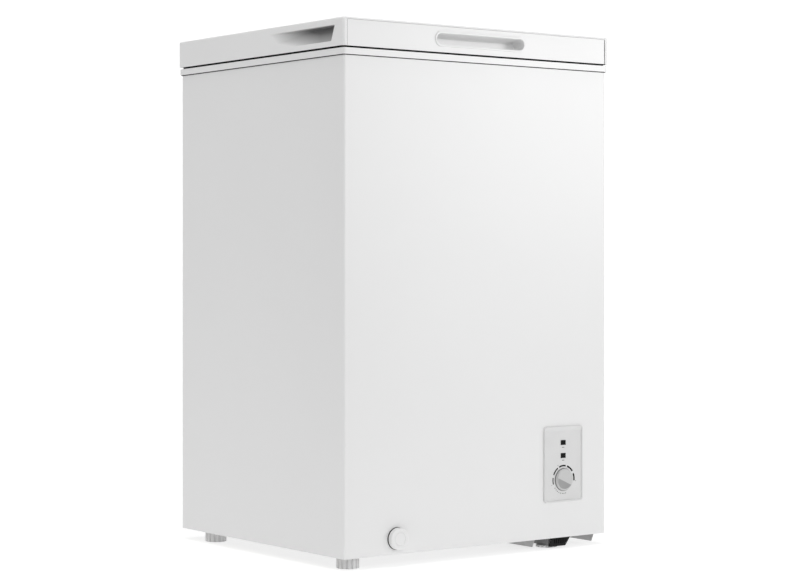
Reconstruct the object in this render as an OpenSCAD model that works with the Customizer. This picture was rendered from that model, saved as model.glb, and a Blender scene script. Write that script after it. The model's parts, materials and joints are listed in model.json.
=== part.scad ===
// Chest freezer of about 99 litres: foamed cabinet, hinged lid, compressor bay at the right end.
// Millimetres. X runs right along the front, Y runs back and Z runs up from the floor.

/* [Cabinet] */
// Width of the steel cabinet
cab_w = 537; // [530:1:545]
// Depth of the steel cabinet
cab_d = 481; // [475:1:490]
// Height of the cabinet's underside above the floor
base_z = 18; // [18:1:22]
// Height of the collar's lower edge
skirt_z = 793; // [780:0.5:800]
// Height of the collar's part that shows
collar_h = 10; // [8:0.5:13]
// How far the collar stands out from the steel
collar_over = 3; // [2:0.5:3.5]
// Thickness of the insulated wall
wall = 58; // [56:1:62]
// Thickness of the steel sheet
steel = 0.6; // [0.5:0.1:0.8]
// Radius of the cabinet's upright corners
corner_r = 3; // [3:0.5:6]

/* [Lid] */
// Height of the lid
lid_h = 44; // [42:1:48]
// How far the lid stands out from the steel
lid_over = 4; // [4:0.5:5]
// Open gap between the collar and the lid
lid_gap = 3; // [2.5:0.5:4]
// Thickness of the lid's moulded wall
lid_wall = 4; // [3.5:0.5:5]
// Length of the front grip's bezel
grip_len = 186; // [170:1:200]
// Height of the front grip's bezel
grip_h = 24.5; // [22:0.5:26]

/* [Inside] */
// Height of the food cavity's floor
floor_z = 74; // [70:1:80]
// Height of the step over the compressor bay
step_z = 300; // [295:5:320]
// Width of the compressor bay
bay_w = 165; // [160:1:170]
// Height of the top of the compressor bay
bay_top = 250; // [240:1:255]
// Turns of the evaporator coil
evap_turns = 5; // [3:1:5]
// Turns of the condenser coil
cond_turns = 5; // [3:1:5]

/* [Front fittings] */
// Width of the control bezel
panel_w = 84; // [80:1:86]
// Height of the control bezel
panel_h = 125; // [120:1:130]
// Radius of the thermostat knob
knob_r = 18; // [16:0.5:19]
// Angle of the knob's ridge below the level, at rest
knob_angle = 24; // [0:1:45]
// Radius of the drain cap
cap_r = 17; // [15:0.5:18]
// How far the drain cap stands out from the steel
cap_proud = 10; // [9:0.5:12]

/* [Feet and hinges] */
// Radius of a foot pad
pad_r = 17.8; // [16:0.1:17.9]
// Number of flutes round a foot pad
flutes = 14; // [10:1:18]
// Distance of each hinge from the middle
hinge_x = 150; // [120:5:180]
// Radius of a hinge pin
pin_r = 2; // [1.8:0.1:2.2]

/* [Hidden] */
$fn = 48;

// Colours
white_paint = "#f0f0ee";
white_plastic = "#f4f4f2";
grey_plastic = "#dededd";
black_plastic = "#1c1c1e";
zinc = "#a8abad";
copper = "#b87848";
alloy = "#c4c7ca";
foam_tan = "#e6d9a8";
rubber = "#26272a";

// Cabinet places
barrel_r = 4.5;
hinge_back = 6;
front_y = cap_proud - (cap_proud + cab_d + lid_over + hinge_back + barrel_r) / 2;
rear_y = front_y + cab_d;
mid_y = (front_y + rear_y) / 2;
half_w = cab_w / 2;
collar_top = skirt_z + collar_h;
deck_t = 3;
rear_face = rear_y - steel;
return_w = 14;
gap = 0.2;

// Cavity, ledge and step places
cav_w = cab_w - 2 * wall;
cav_d = cab_d - 2 * wall;
cav_r = 30;
liner_t = 1;
ledge = 10;
ledge_z = collar_top - 13;
liner_top = ledge_z - deck_t;
bay_x = half_w - bay_w;
step_x = bay_x - wall + 8;
low_w = step_x + cav_w / 2;
low_x = step_x - low_w / 2;

// Lid places
lid_w = cab_w + 2 * lid_over;
lid_d = cab_d + 2 * lid_over;
lid_z = collar_top + lid_gap;
lid_top = lid_z + lid_h;
lid_front = front_y - lid_over;
lid_rear = rear_y + lid_over;
lid_edge_r = 3;
lid_corner_r = 4;
flange_z = lid_z + 2;
flange_t = 2;
plug_w = cav_w - 6;
plug_d = cav_d - 6;
plug_z = ledge_z + 7;
fascia_t = 2.9;
fascia_in = 0.9;
fascia_end = 7;
groove = 0.7;
fascia_top = lid_top - lid_edge_r;
grip_x = -2;
grip_z = lid_z + 21;
grip_lip = 1.5;
grip_wall = 2;
grip_depth = 24;
recess_depth = 15;
recess_front = 23;
recess_rear = 208;
recess_low = lid_z + 8.5;
recess_high = lid_top - 11;

// Hinge places
axis_y = lid_rear + hinge_back;
axis_z = collar_top + 1.5;
hinge_w = 60;
knuckle = 13.5;
leaf_t = 2;
run = 0.05;

// Control, drain and foot places
panel_x = 174.5;
panel_z = 139.5;
panel_proud = 3;
field_in = 1.8;
knob_x = panel_x + 0.8;
knob_z = 113.6;
lamp_w = 11;
lamp_h = 8.5;
lamp_zs = [153.4, 174.9];
shaft_r = 3;
drain_x = -168.5;
drain_z = 43;
drain_y = front_y + wall + 35;
drain_r = 8.2;
left_foot_x = 28 - half_w;
right_foot_x = 165;
foot_ys = [front_y + 30, front_y + 416];
stud_r = 4;
stud_low = 7;
tray_t = 1.2;
flange_low = 4.6;
flange_left = 119;
flange_right = 250;
comp_x = bay_x + bay_w / 2 + 2;
comp_y = mid_y + 65;
comp_r = 60;
comp_z = 31;
port_z = 120;
gland_x = bay_x + 26;
gland_z = 60;

// Coil places
evap_d = 6;
cond_d = 4.8;
evap_z = step_z + 45;
evap_pitch = 85;
cond_z = bay_top + 55;
cond_pitch = 100;
coil_gap = 22;

// ---- Shapes that repeat ----

module box(low, high) {
    translate(low) cube(high - low);
}

module rounded(w, d, r) {
    square([w - 2 * r, d], center = true);
    square([w, d - 2 * r], center = true);
    for (sx = [-1, 1], sy = [-1, 1])
        translate([sx * (w / 2 - r), sy * (d / 2 - r)]) circle(r);
}

module slab(w, d, r, low, high, x = 0) {
    translate([x, mid_y, low]) linear_extrude(high - low) rounded(w, d, r);
}

module frame(w, d, r, inner_w, inner_d, inner_r, low, high) {
    translate([0, mid_y, low]) linear_extrude(high - low) difference() {
        rounded(w, d, r);
        rounded(inner_w, inner_d, inner_r);
    }
}

module stadium(length, height) {
    square([length - height, height], center = true);
    for (side = [-1, 1]) translate([side * (length - height) / 2, 0]) circle(height / 2);
}

// Local z points out of the front, so a height of 10 at depth 0 stands 10 proud of y
module on_front(x, y, z) {
    translate([x, y, z]) rotate([90, 0, 0]) children();
}

module rod_y(x, y_low, y_high, z, r) {
    translate([x, y_high, z]) rotate([90, 0, 0]) cylinder(r = r, h = y_high - y_low);
}

function unit(v) = v / norm(v);
function is_upright(v) = abs(v[2]) > 0.5 * norm(v);

// Bend radius at a corner: wide in plan, tight where the tube climbs
function bend(a, b, wide, tight) = is_upright(a) || is_upright(b) ? tight : wide;

// One bend of a tube: it comes in along u, leaves along v and keeps the radius r
module elbow(corner, u, v, r, d) {
    turn = acos(u * v);
    back = r * tan(turn / 2);
    side = unit(v - (u * v) * u);
    start = corner - back * u + r * side;
    e1 = -side;
    e3 = cross(e1, u);
    multmatrix([[e1[0], u[0], e3[0], start[0]],
                [e1[1], u[1], e3[1], start[1]],
                [e1[2], u[2], e3[2], start[2]],
                [0, 0, 0, 1]])
        rotate_extrude(angle = turn) translate([r, 0]) circle(d / 2);
}

module rod(a, b, d) {
    way = b - a;
    tilt = acos(way[2] / norm(way));
    heading = atan2(way[1], way[0]);
    translate(a) rotate([0, tilt, heading]) cylinder(d = d, h = norm(way));
}

// A bent tube through the points, shortened at each corner by its bend
module tube(points, d, wide, tight) {
    last = len(points) - 1;
    ways = [for (i = [0 : last - 1]) unit(points[i + 1] - points[i])];
    radii = [for (i = [0 : last]) i == 0 || i == last ? 0 : bend(ways[i - 1], ways[i], wide, tight)];
    cuts = [for (i = [0 : last])
        i == 0 || i == last ? 0 : radii[i] * tan(acos(ways[i - 1] * ways[i]) / 2)];
    for (i = [0 : last - 1])
        rod(points[i] + cuts[i] * ways[i], points[i + 1] - cuts[i + 1] * ways[i], d);
    for (i = [1 : last - 1]) elbow(points[i], ways[i - 1], ways[i], radii[i], d);
}

// One lap round the cabinet at height z, from the rear wall back to the rear wall
function lap(x, y_front, y_back, z) = [
    [coil_gap, y_back, z], [x, y_back, z], [x, y_front, z],
    [-x, y_front, z], [-x, y_back, z], [-coil_gap, y_back, z]
];
function flipped(points) = [for (i = [len(points) - 1 : -1 : 0]) points[i]];
function laps(x, y_front, y_back, z, pitch, n) = [
    for (i = [0 : n - 1])
        each (i % 2 == 0 ? lap(x, y_front, y_back, z + i * pitch)
                         : flipped(lap(x, y_front, y_back, z + i * pitch)))
];

evap_x = cav_w / 2 + liner_t + evap_d / 2 + gap;
evap_front = front_y + wall - liner_t - evap_d / 2 - gap;
evap_back = rear_y - wall + liner_t + evap_d / 2 + gap;
cond_x = half_w - steel - cond_d / 2 - gap;
cond_front = front_y + steel + cond_d / 2 + gap;
cond_back = rear_y - 2 * steel - cond_d / 2 - gap;
drier_x = half_w - 22;
drier_y = rear_y - 40;
drier_low = 120;
drier_len = 80;
pipe_back = rear_y - 25;
bend_small = 9;

// ---- Cabinet ----

module outer_wrap() {
    color(white_paint) difference() {
        frame(cab_w, cab_d, corner_r, cab_w - 2 * steel, cab_d - 2 * steel, corner_r - steel,
              base_z, collar_top - deck_t - gap);
        box([-half_w + return_w, rear_y - 2, 0], [half_w - return_w, rear_y + 1, collar_top]);
        box([panel_x - panel_w / 2 + 4, front_y - 1, panel_z - panel_h / 2 + 4],
            [panel_x + panel_w / 2 - 4, front_y + 2, panel_z + panel_h / 2 - 4]);
        rod_y(drain_x, front_y - 1, front_y + 2, drain_z, 12);
        for (i = [0 : 6]) side_slot(i, half_w - 1, half_w + 1);
    }
}

module side_slot(i, low, high) {
    box([low, mid_y - 55, 70 + 16 * i], [high, mid_y + 55, 76 + 16 * i]);
}

module rear_panel() {
    inner = half_w - steel - corner_r;
    color(zinc) difference() {
        box([-inner, rear_face - steel, base_z + steel], [inner, rear_face, collar_top - deck_t - gap]);
        box([bay_x + 12, rear_face - 2, 34], [inner - 12, rear_face + 1, bay_top - 12]);
        for (p = cover_screw_places()) rod_y(p[0], rear_face - 2, rear_face + 1, p[1], 1.8);
        for (x = lower_screw_xs(), z = lower_screw_zs) rod_y(x, rear_face - 2, rear_face + 1, z, 2.2);
    }
}

module base_panel() {
    color(zinc) difference() {
        box([-half_w + corner_r, front_y + steel + gap, base_z],
            [bay_x - gap, rear_face - steel - gap, base_z + steel]);
        for (y = foot_ys) translate([left_foot_x, y, 0]) cylinder(r = stud_r + 1, h = 40);
    }
}

module bay_panel() {
    color(zinc) difference() {
        union() {
            box([bay_x, front_y + steel + gap, base_z + tray_t],
                [bay_x + steel, rear_face - steel - gap, bay_top + steel]);
            box([bay_x, front_y + steel + gap, bay_top],
                [half_w - corner_r, rear_face - steel - gap, bay_top + steel]);
        }
        for (x = [pipe_suction_x, pipe_discharge_x, pipe_capillary_x])
            translate([x, pipe_back, bay_top - 1]) cylinder(r = 4.2, h = 4);
        rod([bay_x - 2, sensor_y, sensor_z], [bay_x + 4, sensor_y, sensor_z], 8.4);
    }
}

// The liner's space, grown by the given amount on every side
module cavity(grow, top) {
    slab(cav_w + 2 * grow, cav_d + 2 * grow, cav_r + grow, step_z - grow, top);
    slab(low_w + 2 * grow, cav_d + 2 * grow, cav_r + grow, floor_z - grow, step_z + 1, low_x);
}

module inner_liner() {
    color(white_plastic) difference() {
        cavity(liner_t, liner_top);
        cavity(0, liner_top + 1);
        translate([drain_x, drain_y, floor_z - 3]) cylinder(r = drain_r, h = 6);
    }
}

module cabinet_foam() {
    inset = steel + gap;
    color(foam_tan) difference() {
        slab(cab_w - 2 * inset, cab_d - 2 * inset - 2 * steel, corner_r, base_z + steel + gap,
             collar_top - deck_t - gap);
        cavity(liner_t + gap, collar_top);
        slab(cav_w + 2 * ledge + 7, cav_d + 2 * ledge + 7, cav_r + ledge + 3.5, liner_top - gap, collar_top);
        box([bay_x - gap, front_y, base_z], [half_w, rear_y, bay_top + steel + gap]);
        for (i = [0 : evap_turns - 1]) evap_groove(evap_z + i * evap_pitch);
        for (i = [0 : cond_turns - 1]) cond_groove(cond_z + i * cond_pitch);
        climb = coil_gap + bend_small + 4;
        box([-climb, evap_back - evap_d, evap_z],
            [climb, evap_back + 4, coil_top(evap_z, evap_pitch, evap_turns)]);
        box([-climb, cond_back - 4, cond_z],
            [climb, rear_y, coil_top(cond_z, cond_pitch, cond_turns)]);
        pipe_chases();
        drain_chase();
        for (y = foot_ys) translate([left_foot_x, y, base_z]) cylinder(r = 9.2, h = 30);
        for (x = lower_screw_xs(), z = lower_screw_zs) rod_y(x, rear_y - 24, rear_y, z, 2.4);
    }
}

function coil_top(z, pitch, n) = z + (n - 1) * pitch;

module evap_groove(z) {
    slab(2 * evap_x + evap_d + 2, evap_back - evap_front + evap_d + 2, cav_r + 8,
         z - evap_d / 2 - 1, z + evap_d / 2 + 1);
}

module cond_groove(z) {
    frame(cab_w + 2, cab_d + 2, corner_r, 2 * cond_x - 8, cond_back - cond_front - 8, 12,
          z - cond_d / 2 - 1, z + cond_d / 2 + 1);
}

// Upright channels at the rear for the pipes that leave the bay
pipe_suction_x = bay_x + 40;
pipe_discharge_x = bay_x + 70;
pipe_capillary_x = bay_x + 100;
chase_z = cond_z - 20;

module pipe_chases() {
    box([coil_gap - 5, pipe_back - 5, chase_z - 5], [pipe_capillary_x + 5, pipe_back + 5, chase_z + 5]);
    for (x = [pipe_suction_x, pipe_discharge_x, pipe_capillary_x])
        box([x - 5, pipe_back - 5, bay_top], [x + 5, pipe_back + 5, chase_z + 5]);
    box([sensor_x - 5, sensor_y - 5, sensor_z - 5], [bay_x, sensor_y + 5, sensor_z + 5]);
}

module drain_chase() {
    box([drain_x - 11, front_y, drain_z - 11], [drain_x + 11, drain_y + 11, drain_z + 15]);
    box([drain_x - 11, drain_y - 11, drain_z], [drain_x + 11, drain_y + 11, floor_z]);
    rod_y(drain_x, front_y, front_y + 16, drain_z, 17);
}

module top_collar() {
    outer_w = cab_w + 2 * collar_over;
    outer_d = cab_d + 2 * collar_over;
    outer_r = corner_r + 1;
    mouth_w = cav_w + 2 * ledge;
    mouth_d = cav_d + 2 * ledge;
    mouth_r = cav_r + ledge;
    color(white_plastic) {
        frame(outer_w, outer_d, outer_r, mouth_w, mouth_d, mouth_r, collar_top - deck_t, collar_top);
        frame(outer_w, outer_d, outer_r, cab_w + 2 * gap, cab_d + 2 * gap, corner_r + gap,
              skirt_z, collar_top - deck_t);
        frame(mouth_w + 6, mouth_d + 6, mouth_r + 3, mouth_w, mouth_d, mouth_r,
              ledge_z, collar_top - deck_t);
        frame(mouth_w + 6, mouth_d + 6, mouth_r + 3, cav_w, cav_d, cav_r, liner_top, ledge_z);
    }
}

// ---- Refrigerant circuit ----

module evaporator_coil() {
    color(alloy) tube(laps(evap_x, evap_front, evap_back, evap_z, evap_pitch, evap_turns),
                      evap_d, cav_r + 4, bend_small);
}

module condenser_coil() {
    color(copper) tube(laps(cond_x, cond_front, cond_back, cond_z, cond_pitch, cond_turns),
                       cond_d, 12, bend_small);
}

module filter_drier() {
    color(copper) translate([drier_x, drier_y, drier_low]) {
        cylinder(r = 9, h = drier_len);
        translate([0, 0, drier_len]) cylinder(r1 = 9, r2 = 3, h = 10);
        translate([0, 0, -10]) cylinder(r1 = 3, r2 = 9, h = 10);
    }
}

module capillary_tube() {
    z = bay_top - 20;
    color(copper) tube([[drier_x, drier_y, drier_low + drier_len + 10.2], [drier_x, drier_y, z],
                        [drier_x, pipe_back, z], [pipe_capillary_x, pipe_back, z],
                        [pipe_capillary_x, pipe_back, chase_z], [pipe_discharge_x + 12, pipe_back, chase_z]],
                       3, 5, 5);
}

module suction_line() {
    side_x = comp_x - comp_r - 14;
    z = bay_top - 35;
    color(copper) tube([[comp_x - comp_r - 0.1, comp_y, port_z], [side_x, comp_y, port_z],
                        [side_x, comp_y, z], [side_x, pipe_back, z], [pipe_suction_x, pipe_back, z],
                        [pipe_suction_x, pipe_back, chase_z], [coil_gap, pipe_back, chase_z]],
                       6, 7, 7);
}

module discharge_line() {
    back_y = comp_y + comp_r + 18;
    z = bay_top - 55;
    color(copper) tube([[comp_x, comp_y + comp_r + 0.1, port_z], [comp_x, back_y, port_z],
                        [comp_x, back_y, z], [comp_x, pipe_back, z], [pipe_discharge_x, pipe_back, z],
                        [pipe_discharge_x, pipe_back, chase_z - 6]],
                       5, 6.5, 6.5);
}

module compressor_shell() {
    seam_z = 75;
    color(black_plastic) translate([comp_x, comp_y, comp_z]) {
        rotate_extrude() {
            square([comp_r, 90]);
            square([comp_r - 36, 126]);
            translate([comp_r - 36, 90]) intersection() {
                circle(36);
                square(40);
            }
            translate([0, seam_z]) square([comp_r + 2, 6]);
        }
    }
}

function grommet_places() = [for (sx = [-1, 1], sy = [-1, 1]) [comp_x + 46 * sx, comp_y + 68 * sy]];

module compressor_bracket() {
    color(zinc) difference() {
        box([comp_x - 62, comp_y - 80, comp_z - 3], [comp_x + 62, comp_y + 80, comp_z]);
        for (p = grommet_places()) translate([p[0], p[1], comp_z - 5]) cylinder(r = 4.2, h = 8);
    }
}

module compressor_grommets() {
    color(rubber) for (p = grommet_places()) translate([p[0], p[1], base_z + tray_t]) difference() {
        cylinder(r = 9, h = comp_z - 3 - base_z - tray_t);
        translate([0, 0, -1]) cylinder(r = 4.2, h = 20);
    }
}

module compressor_bolts() {
    color(zinc) for (p = grommet_places()) translate([p[0], p[1], 0]) {
        translate([0, 0, base_z - 4]) cylinder(r = 7, h = 4, $fn = 6);
        translate([0, 0, base_z - 0.5]) cylinder(r = 4, h = comp_z + 6 - base_z);
        translate([0, 0, comp_z + gap]) cylinder(r = 7, h = 4, $fn = 6);
    }
}

module terminal_cover() {
    color(black_plastic) difference() {
        box([comp_x - 30, comp_y - comp_r - 24, comp_z + 28],
            [comp_x + 30, comp_y - comp_r + 14, comp_z + 70]);
        translate([comp_x, comp_y, 0]) cylinder(r = comp_r + gap, h = 300);
    }
}

// A flange that hangs under the tray, with its front end cut on the slant
module tray_flange(x) {
    translate([x, 0, 0]) rotate([90, 0, 90]) linear_extrude(tray_t)
        polygon([[front_y + 7, base_z], [rear_y - 20, base_z],
                 [rear_y - 30, flange_low], [front_y + 13, flange_low]]);
}

module compressor_tray() {
    color(zinc) difference() {
        union() {
            box([bay_x, front_y + steel + gap, base_z],
                [half_w - corner_r, rear_face - steel - gap, base_z + tray_t]);
            tray_flange(flange_left);
            tray_flange(flange_right - tray_t);
        }
        for (y = foot_ys) translate([right_foot_x, y, 0]) cylinder(r = stud_r + 1, h = 40);
        for (p = grommet_places()) translate([p[0], p[1], 0]) cylinder(r = 4.2, h = 40);
        for (i = [0 : 3])
            box([160 + 10 * i, front_y + 55, base_z - 1], [165 + 10 * i, front_y + 82, base_z + 4]);
    }
}

// The air duct is open below and stands round the neck of the right front foot
duct_front = front_y + 13;
duct_len = 74;
duct_wall = 2;
duct_left = 153.2;
duct_low_right = 189;
duct_high_right = 201;

// A shape drawn in X and Z, drawn out along Y between low and high
module prism_y(points, low, high) {
    translate([0, high, 0]) rotate([90, 0, 0]) linear_extrude(high - low) polygon(points);
}

module air_inlet_duct() {
    outer = [[duct_left, flange_low], [duct_low_right, flange_low],
             [duct_high_right, base_z], [duct_left, base_z]];
    inner = [[duct_left + duct_wall, flange_low - 1], [duct_low_right - duct_wall - 1.5, flange_low - 1],
             [duct_high_right - duct_wall, base_z + 1], [duct_left + duct_wall, base_z + 1]];
    color(grey_plastic) difference() {
        prism_y(outer, duct_front, duct_front + duct_len);
        prism_y(inner, duct_front - 1, duct_front + duct_len - duct_wall);
    }
}

module air_inlet_grille() {
    face = [[duct_left, flange_low - 2.2], [duct_low_right, flange_low - 2.2], [duct_high_right, base_z],
            [duct_left + 7, base_z]];
    color(black_plastic) difference() {
        union() {
            prism_y(face, duct_front - 3, duct_front - 1.2);
            prism_y([[duct_left + 4, flange_low], [duct_low_right, flange_low], [duct_high_right, base_z],
                     [duct_left + 7, base_z]], duct_front - 2, duct_front);
        }
        for (i = [0 : 6]) box([165 + 4 * i, duct_front - 4, 6.5], [167 + 4 * i, duct_front, 14.5]);
    }
}

function cover_screw_places() = [for (x = [bay_x + 8, half_w - 18], z = [40, 130, 225]) [x, z]];

module bay_rear_cover() {
    color(zinc) difference() {
        box([bay_x + 2, rear_face, 28], [half_w - return_w - gap, rear_face + 1.2, bay_top - 4]);
        for (z = [90 : 14 : 216], x = [bay_x + 24, bay_x + 84])
            box([x, rear_face - 1, z], [x + 46, rear_face + 3, z + 6]);
        for (p = cover_screw_places()) rod_y(p[0], rear_face - 1, rear_face + 3, p[1], 1.8);
        rod_y(gland_x, rear_face - 2, rear_face + 3, gland_z, 7);
    }
}

module rear_cover_screws() {
    color(alloy) for (p = cover_screw_places()) {
        rod_y(p[0], rear_face - 8, rear_face + 1.2, p[1], 1.7);
        rod_y(p[0], rear_face + 1.2, rear_face + 3, p[1], 3.4);
    }
}

module cord_gland() {
    color(black_plastic) difference() {
        union() {
            rod_y(gland_x, rear_face - 8, rear_face + 8, gland_z, 6.9);
            rod_y(gland_x, rear_face + 1.2, rear_face + 4, gland_z, 10);
            rod_y(gland_x, rear_face - 8, rear_face - 4, gland_z, 9);
        }
        rod_y(gland_x, rear_face - 9, rear_face + 9, gland_z, 4);
    }
}

module side_vent_grille() {
    color(white_plastic) difference() {
        box([half_w, mid_y - 64, 62], [half_w + 1.6, mid_y + 64, 180]);
        for (i = [0 : 6]) side_slot(i, half_w - 1, half_w + 3);
    }
}

module wiring_loom() {
    y_cover = comp_y - comp_r - 24;
    color(black_plastic) tube([[bay_x + 12, rear_y - 20, gland_z], [bay_x + 12, y_cover - 12, gland_z],
                               [comp_x, y_cover - 12, gland_z], [comp_x, y_cover - 12, 80],
                               [comp_x, front_y + 37, 80]],
                              6, 8, 8);
}

// ---- Control panel ----

module control_bezel() {
    face = front_y - panel_proud;
    field = face + field_in;
    low = panel_z - panel_h / 2;
    high = panel_z + panel_h / 2;
    color(grey_plastic) difference() {
        union() {
            on_front(panel_x, front_y, panel_z) linear_extrude(panel_proud) rounded(panel_w, panel_h, 5);
            on_front(panel_x, front_y + 7, panel_z) linear_extrude(7) difference() {
                rounded(panel_w - 9, panel_h - 9, 3);
                rounded(panel_w - 13, panel_h - 13, 2);
            }
        }
        translate([panel_x - panel_w / 2 + 2, 0, 0]) rotate([90, 0, 90]) linear_extrude(panel_w - 4)
            polygon([[face - 1, low + 2], [face, low + 2], [field, low + 4], [field, high - 8],
                     [face, high - 1.2], [face - 1, high - 1.2]]);
        for (z = lamp_zs) box([panel_x - lamp_w / 2, face - 1, z - lamp_h / 2],
                              [panel_x + lamp_w / 2, front_y + 1, z + lamp_h / 2]);
        rod_y(knob_x, face - 1, front_y + 1, knob_z, 4);
    }
}

module lamp(z) {
    color(black_plastic)
        box([panel_x - lamp_w / 2 + gap, front_y - panel_proud + field_in - 0.4, z - lamp_h / 2 + gap],
            [panel_x + lamp_w / 2 - gap, front_y + 10, z + lamp_h / 2 - gap]);
}

module run_lamp() { lamp(lamp_zs[0]); }

module power_lamp() { lamp(lamp_zs[1]); }

module thermostat_body() {
    color(alloy) difference() {
        union() {
            box([knob_x - 25, front_y + 8, knob_z - 20], [knob_x + 25, front_y + 34, knob_z + 20]);
            rod_y(knob_x, front_y + gap, front_y + 8, knob_z, 7);
        }
        rod_y(knob_x, front_y - 1, front_y + 31, knob_z, shaft_r + run);
    }
}

// The sensor tube runs from the thermostat to the liner's wall
sensor_x = step_x + liner_t + 4;
sensor_y = front_y + 60;
sensor_z = 150;

module sensor_tube() {
    color(copper) tube([[knob_x - 10, front_y + 34.2, sensor_z - 25], [knob_x - 10, sensor_y, sensor_z - 25],
                        [knob_x - 10, sensor_y, sensor_z], [sensor_x, sensor_y, sensor_z]], 3, 5, 5);
}

module thermostat_shaft() {
    color(alloy) rod_y(knob_x, front_y - 4.5, front_y + 30, knob_z, shaft_r);
}

module thermostat_knob() {
    base_y = front_y - panel_proud + field_in - 0.3;
    ridge = 4.5;
    skirt = 2.5;
    color(grey_plastic) difference() {
        union() {
            on_front(knob_x, base_y, knob_z) cylinder(r = knob_r, h = skirt);
            on_front(knob_x, base_y, knob_z) intersection() {
                cylinder(r = knob_r - 1.5, h = ridge);
                rotate([90, 0, 90 - knob_angle]) translate([0, 0, -knob_r]) linear_extrude(2 * knob_r)
                    polygon([[-knob_r, 0], [knob_r, 0], [knob_r, skirt], [-1.5, ridge],
                             [-3.5, ridge], [-knob_r, skirt]]);
            }
        }
        rod_y(knob_x, front_y - 4.6, front_y + 5, knob_z, shaft_r + 0.02);
    }
}

// ---- Drain ----

module drain_fitting() {
    color(white_plastic) difference() {
        union() {
            rod_y(drain_x, front_y - 1.4, front_y, drain_z, 15.5);
            rod_y(drain_x, front_y, front_y + 14, drain_z, 11.8);
        }
        rod_y(drain_x, front_y - 2, front_y + 15, drain_z, drain_r);
    }
}

module drain_tube() {
    route = [[drain_x, front_y + 14.2, drain_z], [drain_x, drain_y, drain_z],
             [drain_x, drain_y, floor_z - liner_t - gap]];
    bore = [[drain_x, front_y + 14, drain_z], [drain_x, drain_y, drain_z], [drain_x, drain_y, floor_z]];
    color(grey_plastic) difference() {
        tube(route, 2 * drain_r + 3.6, 16, 16);
        tube(bore, 2 * drain_r, 16, 16);
    }
}

module drain_cap() {
    face = front_y - cap_proud;
    color(white_plastic) difference() {
        union() {
            rod_y(drain_x, face + 1.5, front_y - 1.7, drain_z, cap_r);
            translate([drain_x, face, drain_z]) rotate([-90, 0, 0])
                cylinder(r1 = cap_r - 1.5, r2 = cap_r, h = 1.5);
            rod_y(drain_x, front_y - 2, front_y + 10, drain_z, drain_r - 0.06);
        }
        translate([0, face + 0.8, 0]) difference() {
            rod_y(drain_x, -1, 0, drain_z, 10.4);
            rod_y(drain_x, -2, 1, drain_z, 9.6);
        }
    }
}

module drain_plug() {
    color(white_plastic) translate([drain_x, drain_y, floor_z]) {
        translate([0, 0, 0.1]) cylinder(r = 13, h = 3);
        translate([0, 0, -9]) cylinder(r = drain_r - 0.06, h = 10);
        translate([0, 0, 3]) cylinder(r = 5, h = 8);
    }
}

// ---- Feet ----

module socket(x, y, low) {
    translate([x, y, low]) difference() {
        cylinder(r = 9, h = 12);
        translate([0, 0, -1]) cylinder(r = stud_r + run, h = 14);
    }
}

module foot_sockets() {
    color(zinc) for (y = foot_ys) {
        socket(left_foot_x, y, base_z + steel);
        socket(right_foot_x, y, base_z + tray_t);
    }
}

module foot_stud(x, y) {
    color(zinc) translate([x, y, stud_low]) cylinder(r = stud_r, h = base_z + 20);
}

// The upright flutes round a pad
module pad_flutes(x, y, low) {
    for (i = [0 : flutes - 1])
        translate([x, y, low]) rotate(360 * i / flutes) translate([pad_r - 0.6, 0, 0])
            cylinder(r = 1.4, h = base_z);
}

// A tall pad, which fills the height under the cabinet
module foot_pad(x, y) {
    top = base_z - 0.3;
    color(grey_plastic) difference() {
        translate([x, y, 0]) {
            cylinder(r = pad_r, h = top - 2);
            translate([0, 0, top - 2]) cylinder(r1 = pad_r, r2 = pad_r - 2, h = 2);
        }
        translate([x, y, stud_low - gap]) cylinder(r = stud_r + run, h = base_z);
        pad_flutes(x, y, 1);
    }
}

// A low pad with a slim neck, which leaves room for the duct and the tray's flanges above it
module low_foot_pad(x, y) {
    color(grey_plastic) difference() {
        translate([x, y, 0]) {
            cylinder(r = pad_r, h = flange_low - 0.6);
            cylinder(r = stud_r + 2, h = base_z - 0.3);
        }
        translate([x, y, stud_low - gap]) cylinder(r = stud_r + run, h = base_z);
        pad_flutes(x, y, 1);
    }
}

module foot_stud_front_left() { foot_stud(left_foot_x, foot_ys[0]); }

module foot_stud_front_right() { foot_stud(right_foot_x, foot_ys[0]); }

module foot_stud_rear_left() { foot_stud(left_foot_x, foot_ys[1]); }

module foot_stud_rear_right() { foot_stud(right_foot_x, foot_ys[1]); }

module foot_pad_front_left() { foot_pad(left_foot_x, foot_ys[0]); }

module foot_pad_front_right() { low_foot_pad(right_foot_x, foot_ys[0]); }

module foot_pad_rear_left() { foot_pad(left_foot_x, foot_ys[1]); }

module foot_pad_rear_right() { low_foot_pad(right_foot_x, foot_ys[1]); }

// ---- Hinges ----

lower_screw_zs = [745, 770];
upper_screw_zs = [lid_z + 13, lid_z + 27];
leaf_low = 735;
jog_z = 782;
riser_y = lid_rear + 0.4;
screw_side = 20;

function lower_screw_xs() = [for (side = [-1, 1], s = [-1, 1]) side * hinge_x + s * screw_side];

module rod_x(x_low, x_high, y, z, r) {
    translate([x_low, y, z]) rotate([0, 90, 0]) cylinder(r = r, h = x_high - x_low);
}

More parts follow.
